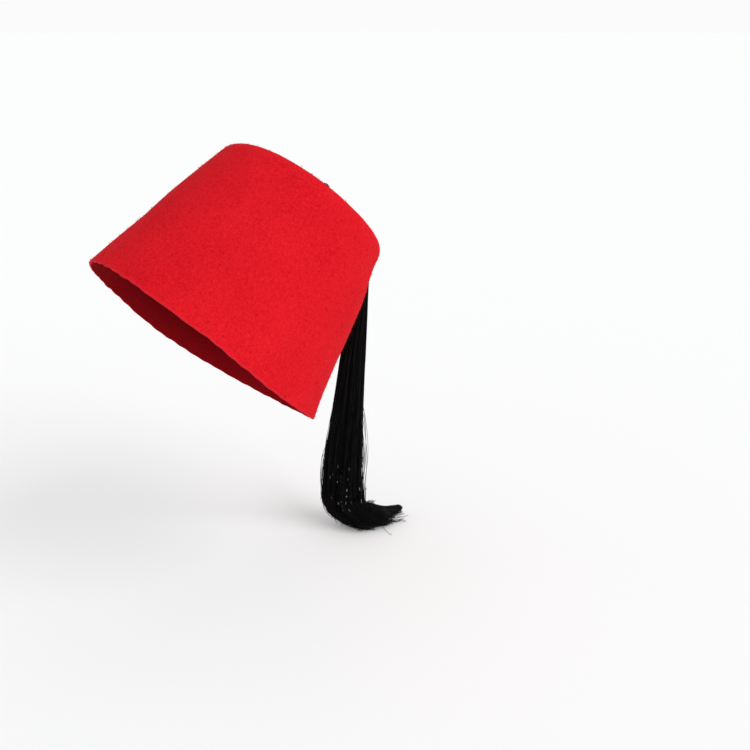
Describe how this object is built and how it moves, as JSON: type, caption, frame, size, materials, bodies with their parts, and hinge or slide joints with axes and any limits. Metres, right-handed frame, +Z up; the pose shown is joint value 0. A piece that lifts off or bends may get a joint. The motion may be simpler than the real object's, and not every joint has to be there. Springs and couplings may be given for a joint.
{
  "type": "fez hat",
  "caption": "Tall felt cap with a flat rim, a rounded shoulder and a gently domed top, with a long black tassel on a thin cord from the middle of the top.",
  "frame": {"origin": "middle of the rim opening, where a head goes in", "axes": "+Z up as the hat is worn, tilted back; the wearer faces -Y and +X is the wearer's left. The crown's own axis leans 43 degrees from +Z towards +Y"},
  "size_m": [0.1695, 0.2572, 0.3253],
  "materials": {
    "felt": "matt wool felt",
    "cord_thread": "twisted waxed cord",
    "tassel_thread": "rayon thread with a slight sheen"
  },
  "bodies": {
    "root": {"crown": "felt", "cord": "cord_thread", "tassel_knob": "tassel_thread", "tassel_binding": "tassel_thread", "tassel": "tassel_thread"}
  },
  "joints": []
}
